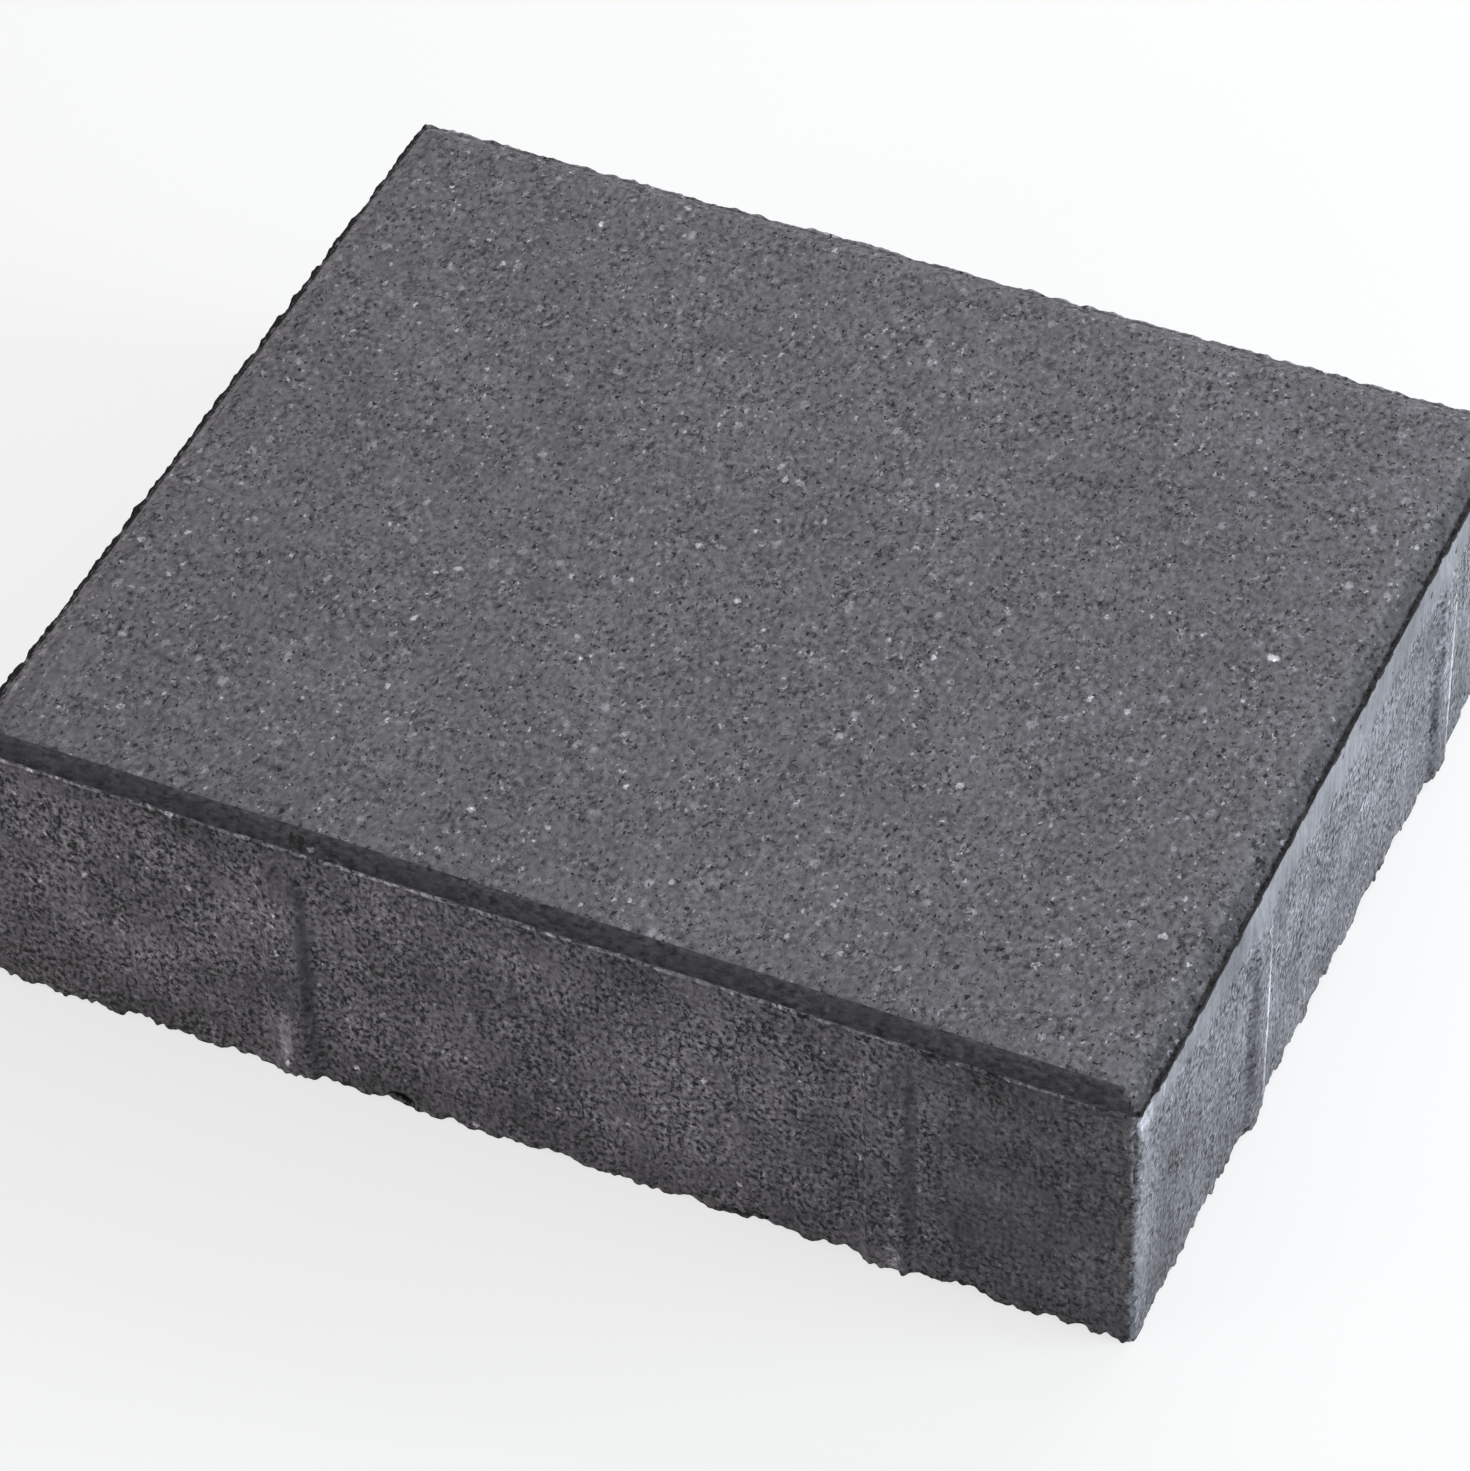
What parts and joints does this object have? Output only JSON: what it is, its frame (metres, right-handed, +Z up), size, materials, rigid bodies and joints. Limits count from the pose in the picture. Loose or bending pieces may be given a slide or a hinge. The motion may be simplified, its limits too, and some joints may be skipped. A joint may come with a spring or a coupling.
{
  "type": "concrete paving slab",
  "caption": "Rectangular cast concrete paving slab with chamfered top edges and spacer nibs on its sides.",
  "frame": {"origin": "centre of the underside, the face that is bedded", "axes": "+X along the slab's length, +Y along its width, +Z up out of the chamfered wearing face"},
  "size_m": [0.3, 0.25, 0.08],
  "materials": {
    "concrete": "fine-grained matt anthracite cast concrete"
  },
  "bodies": {
    "root": {"paving_slab": "concrete"}
  },
  "joints": []
}
